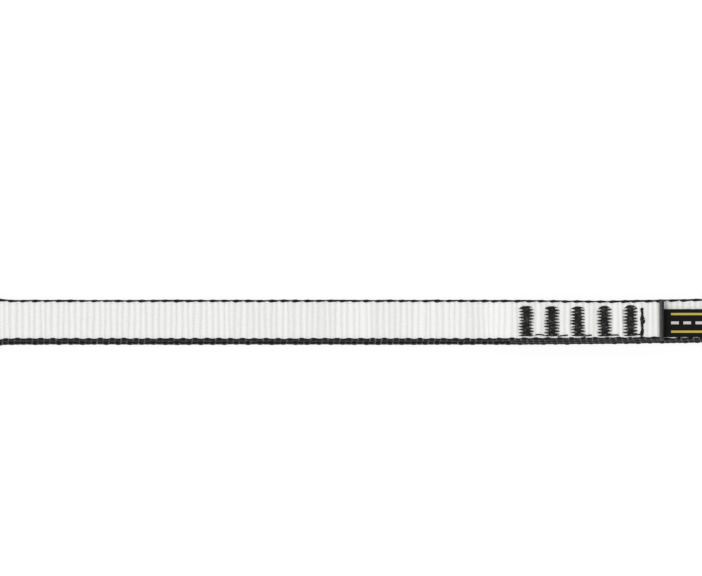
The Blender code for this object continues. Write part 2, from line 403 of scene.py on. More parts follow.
    def upper_face(self, x: np.ndarray) -> np.ndarray:
        """Height of the outer leg's upper face.

        Args:
            x: The places along the sling.

        Returns:
            The height at each place.
        """
        count = self.outer_leg_points
        face = self.line[:count, [0, 2]] + self.normal[:count] * self.sizes.thickness / 2
        return np.interp(-x, -face[:, 0], face[:, 1])

    def carry(self, along: np.ndarray, across: np.ndarray, out: np.ndarray) -> np.ndarray:
        """Places points on the tape.

        Args:
            along: Distance from the outer end, one per ring.
            across: Distance across the tape from its middle, one row per ring.
            out: Distance out from the tape's middle plane, one row per ring.

        Returns:
            The points, one row per ring.
        """
        middle = [np.interp(along, self.along, self.line[:, i])[:, None] for i in range(3)]
        normal = [np.interp(along, self.along, self.normal[:, i]) for i in range(2)]
        size = np.hypot(*normal)
        across = across * np.interp(along, self.along, self.spread)[:, None]
        x = middle[0] + out * (normal[0] / size)[:, None]
        z = middle[2] + out * (normal[1] / size)[:, None]
        return np.stack([x, middle[1] + across, z], axis=2)


class RibShape(NamedTuple):
    """What the ribs give each point of the tape."""

    height: np.ndarray
    number: np.ndarray
    tone: np.ndarray


@dataclass
class Weave:
    """The rhythm of the ribs, which the black edges share."""

    route: TapeRoute
    pitch: float = 0.0015566
    datum_x: float = -0.131447
    crest_share: float = 0.40
    boundary_jitter_share: float = 0.17
    lean_share: float = 0.09
    bend_share: float = 0.025
    bend_size: float = 0.0017
    crest_power: float = 1.3
    least_strength: float = 0.42
    spare_ribs: int = 2
    patch_ribs: int = 3
    calm_tones: float = 0.35
    sewn_tones: float = 2.3
    sewn_start_x: float = -0.0850
    sewn_run: float = 0.0300
    bight_drift: float = -0.23
    drift_run: float = 0.012
    steps_per_rib: int = 8
    end_overlap: float = 0.0003
    seed: int = 11
    boundaries: np.ndarray = field(init=False)
    strengths: np.ndarray = field(init=False)
    tones: np.ndarray = field(init=False)
    leans: np.ndarray = field(init=False)

    def __post_init__(self) -> None:
        """Draws each rib's own width, height and tone."""
        rng = np.random.default_rng(self.seed)
        last, first = self.count(np.array([0.0, self.route.length]))
        number = np.arange(math.floor(first) - self.spare_ribs, math.ceil(last) + self.spare_ribs + 1)
        jitter = self.boundary_jitter_share * rng.uniform(-1, 1, len(number))
        self.boundaries = number + (self.crest_share - 0.5) + jitter
        self.strengths = rng.uniform(self.least_strength, 1.0, len(number))
        patches = rng.uniform(0, 1, len(number) // self.patch_ribs + self.spare_ribs)
        patch_starts = number[0] + self.patch_ribs * np.arange(len(patches))
        tone = (rng.uniform(0, 1, len(number)) + np.interp(number, patch_starts, patches)) / 2
        sewn = smooth((self.datum_x + number * self.pitch - self.sewn_start_x) / self.sewn_run)
        spread = self.calm_tones + (self.sewn_tones - self.calm_tones) * sewn
        self.tones = 0.5 + (tone - 0.5) * spread
        self.leans = self.lean_share * rng.uniform(-1, 1, len(number))

    def count(self, along: np.ndarray) -> np.ndarray:
        """How many ribs lie between the datum and each place, towards the outer end.

        Args:
            along: The places, as distances from the outer end.

        Returns:
            The counts, less than zero past the datum.
        """
        leg_end = self.route.along[self.route.outer_leg_points]
        drift = self.bight_drift * smooth((along - leg_end) / self.drift_run)
        return (self.route.outer_along(self.datum_x) - along) / self.pitch + drift

    def rings(self) -> np.ndarray:
        """Even rings along the tape, from inside one melted end to inside the other.

        Returns:
            Each ring's distance from the outer end.
        """
        start = self.route.sizes.seal_length - self.end_overlap
        end = self.route.length - start
        return np.linspace(start, end, math.ceil((end - start) / self.pitch * self.steps_per_rib))

    def ribs(self, along: np.ndarray, across: np.ndarray) -> RibShape:
        """The rounded ribs.

        Args:
            along: Distance from the outer end, one per ring.
            across: Distance across the tape, one row per ring.

        Returns:
            Each point's height as a share, its place counted in ribs, and its rib's tone.
        """
        count = self.count(along)
        lean = np.interp(count, self.boundaries, self.leans)[:, None]
        bend = self.bend_share * np.sin(across / self.bend_size + count[:, None])
        place = count[:, None] + lean * across / (self.route.sizes.width / 2) + bend
        index = np.clip(np.searchsorted(self.boundaries, place) - 1, 0, len(self.boundaries) - 2)
        low, high = self.boundaries[index], self.boundaries[index + 1]
        inside = (place - low) / (high - low)
        crest = 1 - np.abs(2 * inside - 1) ** self.crest_power
        return RibShape(self.strengths[index] * crest, index + inside, self.tones[index])


class Nodes:
    """A node tree, built step by step."""

    def __init__(self, tree: bpy.types.NodeTree) -> None:
        """Takes the tree to build in."""
        self.tree = tree

    def feed(self, target: bpy.types.NodeSocket, value: object) -> None:
        """Links a field to an input, or writes a plain value there.

        Args:
            target: The input.
            value: The field or the value.
        """
        if isinstance(value, Field):
            self.tree.links.new(value.socket, target)
        else:
            target.default_value = value

    def add(self, kind: str, output: int | str, inputs: dict | None = None, **settings: str) -> "Field":
        """Adds a node.

        Args:
            kind: Its type, without the prefix that all shader nodes have.
            output: The output that is used, by number or name.
            inputs: What its inputs get, by number or name.
            settings: The node's own settings.

        Returns:
            The output.
        """
        node = self.tree.nodes.new(f"ShaderNode{kind}")
        for name, setting in settings.items():
            setattr(node, name, setting)
        for name, value in (inputs or {}).items():
            self.feed(node.inputs[name], value)
        return Field(self, node.outputs[output])

    def math(self, operation: str, *values: object) -> "Field":
        """The result of a Math node over fields and numbers."""
        return self.add("Math", 0, dict(enumerate(values)), operation=operation)


@dataclass(frozen=True)
class Field:
    """A node's output, which can be reckoned with as a number can."""

    nodes: Nodes
    socket: bpy.types.NodeSocket

    def __add__(self, other: object) -> "Field":
        """The sum."""
        return self.nodes.math("ADD", self, other)

    def __sub__(self, other: object) -> "Field":
        """The difference."""
        return self.nodes.math("SUBTRACT", self, other)

    def __rsub__(self, other: float) -> "Field":
        """A number less this field."""
        return self.nodes.math("SUBTRACT", other, self)

    def __mul__(self, other: object) -> "Field":
        """The product."""
        return self.nodes.math("MULTIPLY", self, other)

    def __truediv__(self, other: float) -> "Field":
        """The quotient."""
        return self.nodes.math("DIVIDE", self, other)

    def __mod__(self, pitch: float) -> "Field":
        """What is left over whole pitches."""
        return self.nodes.math("MODULO", self, pitch)

    def __pow__(self, power: float) -> "Field":
        """The power."""
        return self.nodes.math("POWER", self, power)

    def __abs__(self) -> "Field":
        """The size, without its sign."""
        return self.nodes.math("ABSOLUTE", self)

    def odd(self) -> "Field":
        """1 where a whole number is odd, and 0 where it is even."""
        return self.nodes.math("PINGPONG", self, 1.0)

    def cells(self) -> tuple["Field", "Field"]:
        """The value's whole number, and how far it is from the middle of its cell, 0 to 1."""
        number = self.nodes.math("FLOOR", self)
        return number, abs(self - number - 0.5) * 2.0

    def wave(self, pitch: float, phase: object = 0.0) -> "Field":
        """A wave from 0 to 1 and back each pitch."""
        return self.nodes.math("SINE", self * (math.tau / pitch) + phase) * 0.5 + 0.5

    def span(self, low: float, high: float, soft: float) -> "Field":
        """1 between two values, falling to 0 over a soft edge outside them.

        Args:
            low: The lower value.
            high: The upper value.
            soft: The soft edge's width.

        Returns:
            The share.
        """
        middle, half = (low + high) / 2, (high - low) / 2
        limits = {"From Min": half, "From Max": half + soft, "To Min": 1, "To Max": 0}
        return self.nodes.add("MapRange", "Result", {"Value": abs(self - middle), **limits})


class Surface(Nodes):
    """A material's node tree over the piece's own UV map, which is in millimetres."""

    MIX_COLOURS = (6, 7)
    MIX_RESULT = 2

    def __init__(self, name: str) -> None:
        """Starts a material with a bare shader.

        Args:
            name: The material's name.
        """
        self.material = bpy.data.materials.new(name)
        self.material.use_nodes = True
        super().__init__(self.material.node_tree)
        self.shader = self.tree.nodes["Principled BSDF"]
        self.uv = self.add("UVMap", "UV")
        self.along, self.across = (self.add("SeparateXYZ", way, {"Vector": self.uv}) for way in "XY")

    def shine(self, **sockets: object) -> None:
        """Sets or links the shader's sockets; an underscore in a name stands for a space."""
        for name, value in sockets.items():
            self.feed(self.shader.inputs[name.replace("_", " ")], value)

    def attribute(self, name: str) -> Field:
        """The named numbers that the mesh carries."""
        return self.add("Attribute", "Fac", attribute_name=name)

    def noise(self, scales: tuple[float, float], detail: float = 2) -> Field:
        """Soft noise, with its lumps' number per millimetre along and across."""
        vector = self.add("Mapping", "Vector", {"Vector": self.uv, "Scale": (*scales, 1)})
        return self.add("TexNoise", "Fac", {"Vector": vector, "Scale": 1, "Detail": detail})

    def scatter(self, first: Field, second: Field) -> Field:
        """A random share for each pair of whole numbers."""
        pair = self.add("CombineXYZ", 0, {0: first, 1: second})
        return self.add("TexWhiteNoise", "Value", {"Vector": pair})

    def mix(self, share: Field, first: object, second: object) -> Field:
        """A blend of two colours.

        Args:
            share: How much of the second there is.
            first: A field or a plain colour.
            second: Another.

        Returns:
            The blend.
        """
        inputs = {0: share}
        for index, colour in zip(self.MIX_COLOURS, (first, second)):
            inputs[index] = (*colour, 1) if isinstance(colour, tuple) else colour
        return self.add("Mix", self.MIX_RESULT, inputs, data_type="RGBA")

    def bump(self, height: Field, distance: float) -> None:
        """Raises the surface by the height, up to a distance in metres."""
        self.shine(Normal=self.add("Bump", "Normal", {"Distance": distance, "Height": height}))


@dataclass(frozen=True)
class Finish(ABC):
    """What every finish has: its names, its relief in metres and how it shines.

    The sizes that a finish adds are in millimetres, as the pieces' UV maps are.
    """

    name: str
    slot: str
    relief: float
    roughness: float
    gloss: float
    sheen: float = 0.0
    sheen_roughness: float = 0.5

    @abstractmethod
    def colour(self, made: Surface) -> Field:
        """Builds the finish's own nodes, its relief among them.

        Args:
            made: The material's nodes.

        Returns:
            The colour.
        """

    @cached_property
    def material(self) -> bpy.types.Material:
        """The material, made once."""
        made = Surface(self.name)
        made.shine(Roughness=self.roughness, Specular_IOR_Level=self.gloss)
        made.shine(Sheen_Weight=self.sheen, Sheen_Roughness=self.sheen_roughness)
        made.shine(Base_Color=self.colour(made))
        return made.material


@dataclass(frozen=True)
class WhiteWeave(Finish):
    """Silky white yarns that pass over every other rib, each neighbour over the ribs between; the colour
    has painted light on the rib crests and painted shade in the valleys and the gaps between yarns.
    """

    name: str = "white_woven_tape"
    slot: str = "white_webbing"
    relief: float = 0.00005
    roughness: float = 0.52
    gloss: float = 0.35
    sheen: float = 0.05
    sheen_roughness: float = 0.4
    # crest and valley: painted light on the rib crests and painted shade in the rib valleys
    crest: tuple = (0.924, 0.925, 0.907)
    valley: tuple = (0.848, 0.848, 0.830)
    crest_power: float = 1.0
    tone_share: float = 1.1
    yarn_share: float = 0.30
    gap_shade_share: float = 0.45
    fibre_share: float = 0.45
    melted: tuple = (0.50, 0.49, 0.47)
    yarn_pitch: float = 0.38
    yarn_power: float = 2.0
    gap_power: float = 1.5
    gap_depth: float = 0.9
    fibre_scales: tuple = (1.6, 26.0)
    fibre_detail: float = 3
    fibre_height: float = 0.30
    rib_pitch: float = field(kw_only=True)
    turn_place: float = 4.62
    turn_run: float = 0.55
    turn_share: float = 0.9

    def colour(self, made: Surface) -> Field:
        """The yarns' relief and colour, counted in the tape's own ribs, with painted shade in the rib
        valleys and yarn gaps.

        Args:
            made: The material's nodes.

        Returns:
            The colour.
        """
        rib, rib_off = made.attribute("rib").cells()
        yarn, yarn_off = (made.across / self.yarn_pitch + rib.odd() * 0.5).cells()
        rounding = yarn_off**self.yarn_power
        gap = rounding * rib_off**self.gap_power
        fibre = made.noise(self.fibre_scales, self.fibre_detail)
        height = 1.0 - rounding - gap * self.gap_depth
        made.bump(height + fibre * self.fibre_height, self.relief)
        # painted shade: darker towards each rib's edges and in the gaps between the yarns
        shade = rib_off**self.crest_power + gap * self.gap_shade_share
        shade += (made.attribute("tone") - 0.5) * self.tone_share
        shade += (fibre - 0.5) * self.fibre_share
        shade += (made.scatter(rib, yarn) - 0.5) * self.yarn_share
        half = self.turn_run / 2
        rim = abs(made.across).span(self.turn_place - half, self.turn_place + half, half)
        turns = rim * made.along.wave(self.rib_pitch / 2, made.across)
        cloth = made.mix(shade + turns * self.turn_share, self.crest, self.valley)
        return made.mix(made.attribute("melt"), cloth, self.melted)


@dataclass(frozen=True)
class BlackEdge(Finish):
    """Tight black yarns, each over two ribs, with the pale weft peeping out between them."""

    name: str = "black_woven_edge"
    slot: str = "black_selvage"
    relief: float = 0.00006
    roughness: float = 0.62
    gloss: float = 0.08
    sheen: float = 0.06
    dark: tuple = (0.0046, 0.0046, 0.0048)
    # the lighter black: random wear, and painted light on the yarns' crowns
    worn_and_lit: tuple = (0.0170, 0.0170, 0.0175)
    pale: tuple = (0.30, 0.30, 0.295)
    pale_share: float = field(kw_only=True)
    pale_run: float = 0.20
    pale_power: float = 2.0
    pale_gain: float = 2.4
    least_pale: float = 0.12
    stray_share: float = 0.45
    stray_scales: tuple = (0.8, 1.9)
    yarn_width: float = 0.50
    yarn_power: float = 2.0
    gap_power: float = 3.0
    gap_depth: float = 0.8
    twist_pitch: float = 0.11
    twist_slope: float = 0.45
    twist_height: float = 0.22
    fibre_scales: tuple = (3.0, 9.0)
    fibre_detail: float = 3
    fibre_height: float = 0.25
    worn_and_lit_gain: float = 0.7

    def colour(self, made: Surface) -> Field:
        """The yarns' relief and colour, counted in the edge's own cells and slits; the colour is lighter
        on the yarns' crowns and darker in the gaps, painted light and shade mixed with random wear.

        Args:
            made: The material's nodes.

        Returns:
            The colour.
        """
        yarn, yarn_off = (made.across / self.yarn_width).cells()
        _, cell_off = (made.attribute("cell") + (yarn.odd() * 0.5 + 0.5)).cells()
        body = 1.0 - yarn_off**self.yarn_power - cell_off**self.gap_power * self.gap_depth
        twist = (made.along * self.twist_slope + made.across).wave(self.twist_pitch)
        fibre = made.noise(self.fibre_scales, self.fibre_detail)
        fine = twist * self.twist_height + fibre * self.fibre_height
        made.bump(body + fine, self.relief)
        # painted light and shade: lighter on the yarns' crowns, darker in the gaps between them, mixed
        # with random wear from the fibre noise
        cloth = made.mix((fibre + body - 0.5) * self.worn_and_lit_gain, self.dark, self.worn_and_lit)
        stray = (made.noise(self.stray_scales) - 0.5) * self.stray_share
        slit, slit_off = (made.attribute("slit") + stray).cells()
        uneven = made.scatter(slit, yarn) ** self.pale_power * self.pale_gain + self.least_pale
        ragged = fibre * self.pale_run + slit_off
        pale = ragged.span(-self.pale_run, self.pale_run, self.pale_run)
        return made.mix(pale * uneven * self.pale_share, cloth, self.pale)


@dataclass(frozen=True)
class BlackThread(Finish):
    """Bonded thread with its filaments lying along each ply."""

    name: str = "black_bonded_thread"
    slot: str = "black_thread"
    relief: float = 0.00001
    roughness: float = 0.5
    gloss: float = 0.20
    sheen: float = 0.02
    sheen_roughness: float = 0.4
    dark: tuple = (0.0015, 0.0015, 0.0016)
    # the grey of the patches: partly wear, partly painted highlight
    worn_and_lit: tuple = (0.11, 0.11, 0.108)
    fibre_scales: tuple = (1.3, 14.0)
    fibre_detail: float = 3
    patch_scales: tuple = (1.3, 0.6)
    patch_gain: float = 9.0
    patch_start: float = 4.75

    def colour(self, made: Surface) -> Field:
        """The filaments' relief and colour, grey in patches that are partly wear and partly painted
        highlight.

        Args:
            made: The material's nodes.

        Returns:
            The colour.
        """
        fibre = made.noise(self.fibre_scales, self.fibre_detail)
        made.bump(fibre, self.relief)
        # random grey patches: partly wear, partly painted highlights on the thread
        patch = made.noise(self.patch_scales) * self.patch_gain - self.patch_start
        return made.mix(patch * fibre, self.dark, self.worn_and_lit)


@dataclass(frozen=True)
class MeltedEnd(Finish):
    """Yarns fused by a hot knife: a dull grey skin with lumps."""

    name: str = "melted_tape_end"
    slot: str = "melted_end"
    relief: float = 0.00008
    roughness: float = 0.3
    gloss: float = 0.25
    dark: tuple = (0.006, 0.006, 0.006)
    pale: tuple = (0.088, 0.088, 0.086)
    length: float = field(kw_only=True)
    # how the painted shade deepens towards the cut
    cut_shade_fade: float = 1.3
    cut_shade_start: float = 0.45
    lump_scales: tuple = (1.6, 1.0)
    lump_detail: float = 4
    grain_scales: tuple = (6.0, 6.0)
    grain_height: float = 0.35
    grain_roughness: float = 0.25

    def colour(self, made: Surface) -> Field:
        """The skin's relief, uneven gloss and colour, darker towards the cut with painted shade.

        Args:
            made: The material's nodes.

        Returns:
            The colour.
        """
        lumps = made.noise(self.lump_scales, self.lump_detail)
        grain = made.noise(self.grain_scales)
        made.bump(grain * self.grain_height + lumps, self.relief)
        made.shine(Roughness=grain * self.grain_roughness + self.roughness)
        # painted shade: the skin darkens towards the cut, as the shadow at the cut's edge does
        share = lumps + self.cut_shade_start - made.along * (self.cut_shade_fade / self.length)
        return made.mix(share, self.dark, self.pale)


@dataclass(frozen=True)
class LabelCloth(Finish):
    """Fine black label tape with two woven ochre lines and a row of pale dashes."""

    name: str = "fine_label_tape"
    slot: str = "woven_label"
    relief: float = 0.00002
    roughness: float = 0.75
    gloss: float = 0.12
    ground: tuple = (0.0048, 0.0046, 0.0038)
    ochre: tuple = (0.60, 0.47, 0.10)
    pale: tuple = (0.66, 0.66, 0.65)
    line_place: float = 2.35
    line_width: float = 0.55
    dash_pitch: float = 3.2
    dash_length: float = 2.0
    dash_width: float = 0.70
    first_mark: float = 1.4
    last_mark: float = 20.5
    mark_edge: float = 0.05
    mark_colour: float = 0.70
    mark_grain: float = 0.35
    yarn_pitch: float = 0.16
    fibre_scales: tuple = (4.0, 4.0)
    fibre_height: float = 0.4

    def colour(self, made: Surface) -> Field:
        """The weave's relief, and the marks on the label's face.

        Args:
            made: The material's nodes.

        Returns:
            The colour.
        """
        weave = (made.across.wave(self.yarn_pitch) + made.along.wave(self.yarn_pitch)) * 0.5
        marked = made.along.span(self.first_mark, self.last_mark, self.mark_edge)
        marked *= made.attribute("face")
        half = self.line_width / 2
        low, high = self.line_place - half, self.line_place + half
        lines = abs(made.across).span(low, high, self.mark_edge) * marked
        dashes = (made.along - self.first_mark) % self.dash_pitch
        dashes = dashes.span(0.0, self.dash_length, self.mark_edge)
        half = self.dash_width / 2
        dashes *= made.across.span(-half, half, self.mark_edge) * marked
        grain = weave * self.mark_grain + self.mark_colour
        cloth = made.mix(grain * lines, self.ground, self.ochre)
        raised = made.noise(self.fibre_scales) * self.fibre_height + weave + lines + dashes
        made.bump(raised, self.relief)
        return made.mix(grain * dashes, cloth, self.pale)


def deselect() -> None:
    """Leaves nothing selected, so that the next operator acts on the new piece alone."""
    bpy.ops.object.select_all(action="DESELECT")


def wrap_grid(
    name: str,
    points: np.ndarray,
    along: np.ndarray,
    around: np.ndarray,
    values: dict[str, np.ndarray] | None = None,
) -> bpy.types.Object:
    """A closed tube: a grid whose long edges meet, with both its ends filled.

    Args:
        name: The piece's name.
        points: Its points, as rings by places round the ring by 3.
        along: Each ring's distance along the piece, for its UV map.
        around: Each place's distance round the ring, and one more where the ring closes.
        values: Named numbers for its materials, as rings by places round the ring.

    Returns:
        The piece, shaded smooth.
    """
    rings, places = points.shape[:2]
    deselect()
    bpy.ops.mesh.primitive_grid_add(x_subdivisions=places, y_subdivisions=rings - 1, size=1)
    piece = bpy.context.object
    piece.name = piece.data.name = name
    mesh = piece.data
    closed = np.concatenate([points, points[:, :1]], axis=1)
    mesh.vertices.foreach_set("co", closed.astype(np.float32).ravel())
    corner = np.empty(len(mesh.loops), np.int32)
    mesh.loops.foreach_get("vertex_index", corner)
    uv = np.stack(np.broadcast_arrays(along[:, None], around[None, :]), axis=2) / MM
    mesh.uv_layers.active.data.foreach_set("uv", uv.reshape(-1, 2)[corner].astype(np.float32).ravel())
    for key, shares in (values or {}).items():
        layer = mesh.attributes.new(key, "FLOAT", "POINT")
        looped = np.concatenate([shares, shares[:, :1]], axis=1)
        layer.data.foreach_set("value", looped.astype(np.float32).ravel())
    bpy.ops.object.mode_set(mode="EDIT")
    bpy.ops.mesh.select_all(action="SELECT")
    bpy.ops.mesh.remove_doubles(threshold=MERGE_DISTANCE)
    bpy.ops.mesh.fill_holes(sides=0)
    bpy.ops.mesh.select_all(action="SELECT")
    bpy.ops.mesh.normals_make_consistent(inside=False)
    bpy.ops.object.mode_set(mode="OBJECT")
    bpy.ops.object.shade_smooth_by_angle(angle=SMOOTH_ANGLE)
    return piece


def join(name: str, pieces: Sequence[bpy.types.Object]) -> bpy.types.Object:
    """Joins meshes that are one piece of the real object.

    Args:
        name: The piece's name.
        pieces: The meshes.

    Returns:
        The piece.
    """
    deselect()
    for piece in pieces:
        piece.select_set(True)
    bpy.context.view_layer.objects.active = pieces[0]
    bpy.ops.object.join()
    pieces[0].name = pieces[0].data.name = name
    return pieces[0]


def dress(piece: bpy.types.Object, finish: Finish, nodes: Sequence[str]) -> bpy.types.Object:
    """Gives a piece its finish and lets it stand for CAD nodes.

    Args:
        piece: The finished mesh, which already rides on its body.
        finish: Its finish.
        nodes: The nodes that it stands for.

    Returns:
        The piece.
    """
    piece.data.materials.clear()
    piece.data.materials.append(finish.material)
    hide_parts(*nodes)
    LOG.info("%s: %d faces", piece.name, len(piece.data.polygons))
    return piece


@dataclass(frozen=True)
class EdgeShape:
    """How one black edge stands and wanders, in metres and in shares of its cells."""

    stand_out: float
    bulge: float
    outer_wander: float
    inner_wander: float
    inner_inset: float
    skew: float
    inward_share: float
    pale_share: float
    seed: int


EDGE_SHAPES = {
    Side.NEAR: EdgeShape(
        stand_out=0.00017,
        bulge=0.00007,
        outer_wander=0.00005,
        inner_wander=0.00012,
        inner_inset=0.00050,
        skew=0.0,
        inward_share=0.51,
        pale_share=0.25,
        seed=23,
    ),
    Side.FAR: EdgeShape(
        stand_out=-0.00002,
        bulge=0.00004,
        outer_wander=0.00004,
        inner_wander=0.00013,
        inner_inset=0.00075,
        skew=0.6,
        inward_share=0.98,
        # painted light: the far edge gets a larger share of pale weft than the near one, which makes it
        # lighter
        pale_share=0.42,
        seed=24,
    ),
}


@dataclass
class WovenTape:
    """The white ground of the tape, one piece from end to end."""

    route: TapeRoute
    weave: Weave
    top_places: int = 15
    under_places: int = 9
    rib_height: float = 0.00013
    edge_drop: float = 0.00010
    edge_run: float = 0.0008
    tuck: float = 0.00016
    press_depth: float = 0.00016
    press_margin: float = 0.0006
    melt_run: float = 0.0010
    end_drop: float = 0.00015

    def _pressed(self, along: np.ndarray, across: np.ndarray) -> np.ndarray:
        """How far the tacks press the upper layer's face in.

        Args:
            along: Distance from the outer end, one per ring.
            across: Distance across the tape, one row per ring.

        Returns:
            The depth at each point.
        """
        sizes = self.route.sizes
        tack_low, tack_high = BarTack.span_across(sizes)
        inside = smooth(np.minimum(across - tack_low, tack_high - across) / self.press_margin + 0.5)
        depth = np.zeros(across.shape)
        for place in sizes.tack_places:
            off = np.abs(along - self.route.outer_along(place))[:, None] - BarTack.width / 2
            lengthwise = 1 - smooth(off / self.press_margin + 0.5)
            depth = np.maximum(depth, lengthwise * inside)
        return self.press_depth * depth

    def _melt(self, from_end: np.ndarray) -> np.ndarray:
        """How far the ends' heat has gone into the yarns."""
        return smooth((self.route.sizes.seal_length + self.melt_run - from_end) / self.melt_run)

    def build(self) -> bpy.types.Object:
        """Makes the tape.

        Returns:
            The piece.
        """
        sizes = self.route.sizes
        along = self.weave.rings()
        narrowest = min(shape.inner_inset for shape in EDGE_SHAPES.values())
        half = sizes.width / 2 - narrowest + self.tuck
        top = np.linspace(-half, half, self.top_places)
        ring = np.concatenate([top, np.linspace(half, -half, self.under_places)])
        facing = np.concatenate([np.ones(self.top_places), -np.ones(self.under_places)])
        across = np.broadcast_to(ring, (len(along), len(ring)))
        ribs = self.weave.ribs(along, across)
        from_end = np.minimum(along, self.route.length - along)
        drop = self.edge_drop * (1 - smooth((half - np.abs(across)) / self.edge_run))
        covered = (sizes.seal_length - from_end) / self.weave.end_overlap
        drop = drop + self.end_drop * smooth(covered + 0.5)[:, None]
        out = sizes.thickness / 2 - self.rib_height * (1 - ribs.height) - drop
        out = facing * (out - np.where(facing > 0, self._pressed(along, across), 0))
        melt = np.broadcast_to(self._melt(from_end)[:, None], out.shape)
        values = {"rib": ribs.number, "tone": ribs.tone, "melt": melt}
        points = self.route.carry(along, across, out)
        piece = wrap_grid("woven_tape", points, along, np.append(ring, ring[0]), values)
        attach(piece, SLING_BODY)
        finish = WhiteWeave(rib_pitch=self.weave.pitch / MM)
        return dress(piece, finish, ["webbing_ground"])


@dataclass
class Selvage:
    """One black edge: a rounded cord of yarn with a bulge at each rib."""

    route: TapeRoute
    weave: Weave
    side: Side
    round_places: int = 11
    round_depth: float = 0.00042
    round_power: float = 0.55
    stray: float = 0.00006
    under_inset: float = 0.00066
    slant_share: float = 0.03
    slit_share: float = 0.53
    slit_power: int = 3
    far_slit_share: float = 0.58

    def _strays(self, ribs: np.ndarray, rng: np.random.Generator) -> np.ndarray:
        """How far a rim strays at each ring, drawn once a rib."""
        places = np.arange(math.floor(ribs.min()) - 1, math.ceil(ribs.max()) + 2)
        return self.stray * np.interp(ribs, places, rng.uniform(-1, 1, len(places)))

    def build(self) -> bpy.types.Object:
        """Makes the edge.

        Returns:
            The piece.
        """
        sizes, shape = self.route.sizes, EDGE_SHAPES[self.side]
        along = self.weave.rings()
        angles = np.linspace(math.pi / 2, -math.pi / 2, self.round_places)
        turn = np.concatenate([[math.pi / 2], angles, [-math.pi / 2]])
        inner = np.concatenate([[True], np.zeros(self.round_places, bool), [True]])
        ribs = self.weave.count(along)[:, None]
        slanted = ribs + self.slant_share * np.sin(turn)
        valley = np.abs(np.cos(math.pi * (slanted - self.slit_share))) ** self.slit_power
        number = ribs / 2 - shape.inward_share
        cell = math.tau * number
        rng = np.random.default_rng(shape.seed)
        inner_wander = shape.inner_wander * np.cos(cell + shape.skew * np.cos(cell))
        inner_wander = inner_wander + self._strays(ribs, rng)
        outer_wander = shape.outer_wander * (1 - np.cos(cell)) + self._strays(ribs, rng)
        half, bulge = sizes.width / 2, shape.bulge * valley
        inner_edge = half - np.where(turn > 0, shape.inner_inset + inner_wander, self.under_inset)
        outer_edge = half + shape.stand_out - outer_wander - bulge
        level, upright = np.abs(np.cos(turn)), np.abs(np.sin(turn))
        depth = self.round_depth * (1 - level**self.round_power)
        across = np.where(inner, inner_edge, outer_edge - depth)
        out = (sizes.thickness / 2 - bulge / 2) * np.sign(turn) * upright**self.round_power
        if self.side is Side.NEAR:
            slit = slanted - self.slit_share + 0.5
        else:
            slit = number - self.far_slit_share + 0.5
        values = {"slit": np.broadcast_to(slit, out.shape), "cell": np.broadcast_to(number, out.shape)}
        steps = np.hypot(np.diff(across[0]), np.diff(out[0]))
        around = np.cumsum(np.concatenate([[0.0], steps, [sizes.thickness]]))
        name = self.side.name.lower()
        points = self.route.carry(along, self.side.value * across, out)
        piece = wrap_grid(f"woven_edge_{name}", points, along, around, values)
        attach(piece, SLING_BODY)
        return dress(piece, BlackEdge(pale_share=shape.pale_share), [f"selvage_{name}"])


class End(Enum):
    """The tape's two cut ends, by the layer of the lap that each belongs to."""

    OUTER = "outer"
    INNER = "inner"


